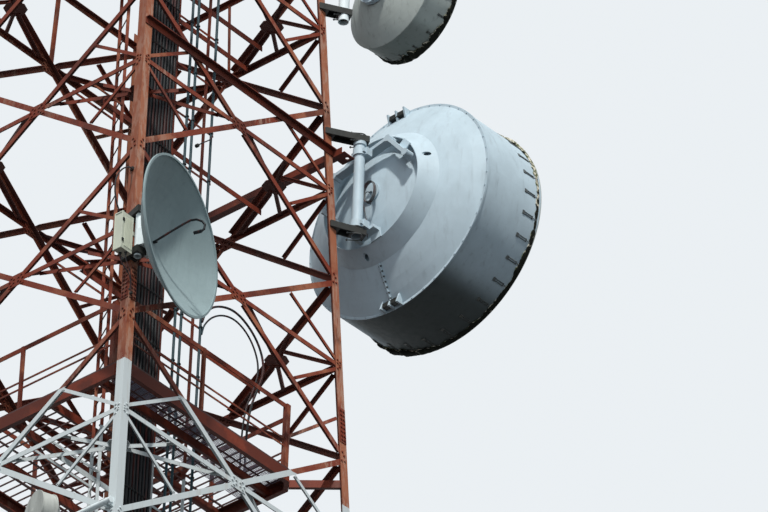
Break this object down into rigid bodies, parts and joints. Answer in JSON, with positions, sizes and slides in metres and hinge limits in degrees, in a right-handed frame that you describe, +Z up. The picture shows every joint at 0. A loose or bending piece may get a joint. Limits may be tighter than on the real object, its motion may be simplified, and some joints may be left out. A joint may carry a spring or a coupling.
{
  "type": "lattice cell tower",
  "caption": "Square tapering lattice mast of steel angles with shrouded drum dishes, an open dish, a rest platform, a climbing ladder and a feeder run.",
  "frame": {"origin": "on the mast's centre line, at the underside of the base plates, which is ground level", "axes": "+Z up along the mast, +X towards the face with the feeder run and the open dish, +Y towards the face that the large drum dish looks out from"},
  "size_m": [7.5598, 7.9481, 23.8694],
  "materials": {
    "black_jacket": "matt black cable jacket",
    "cream_case": "cream powder coat",
    "dark_steel": "dark weathered steel with remains of red paint",
    "dish_grey": "matt light grey paint",
    "mesh_steel": "painted steel mesh",
    "orange_steel": "flaking red-orange paint over galvanised steel",
    "radome": "weathered coated fabric",
    "white_steel": "weathered white paint"
  },
  "bodies": {
    "root": {"leg_southeast": "orange_steel", "leg_northeast": "orange_steel", "leg_northwest": "orange_steel", "leg_southwest": "orange_steel", "base_plates": "orange_steel", "leg_splices": "orange_steel", "south_bracing_lower": "orange_steel", "south_bracing_middle": "orange_steel", "south_bracing_upper": "orange_steel", "east_bracing_lower": "orange_steel", "east_bracing_middle": "orange_steel", "east_bracing_upper": "orange_steel", "north_bracing_lower": "orange_steel", "north_bracing_middle": "orange_steel", "north_bracing_upper": "orange_steel", "west_bracing_lower": "orange_steel", "west_bracing_middle": "orange_steel", "west_bracing_upper": "orange_steel", "plan_bracing_lower": "orange_steel", "plan_bracing_middle": "orange_steel", "plan_bracing_upper": "orange_steel", "dish_girts": "orange_steel", "platform_beams": "orange_steel", "platform_deck": "mesh_steel", "platform_hangers": "orange_steel", "platform_rails": "orange_steel", "climbing_ladder": "orange_steel", "cable_ladder": "orange_steel", "feeder_cables": "black_jacket", "large_reflector": "dish_grey", "large_back_ring": "dish_grey", "large_shroud": "dish_grey", "large_radome": "radome", "large_feed_hub": "dish_grey", "large_mount_frame": "dish_grey", "large_pipe_clamps": "dish_grey", "large_mount_pipe": "white_steel", "large_mount_brackets": "dark_steel", "upper_reflector": "dish_grey", "upper_shroud": "dish_grey", "upper_radome": "radome", "upper_mount_pipe": "white_steel", "upper_mount_brackets": "dark_steel", "upper_mount_frame": "dish_grey", "open_reflector": "dish_grey", "open_feed": "black_jacket", "open_mount": "white_steel", "open_mount_arms": "dark_steel", "radio_box": "cream_case", "small_drum": "radome", "small_drum_mount": "white_steel"}
  },
  "joints": []
}
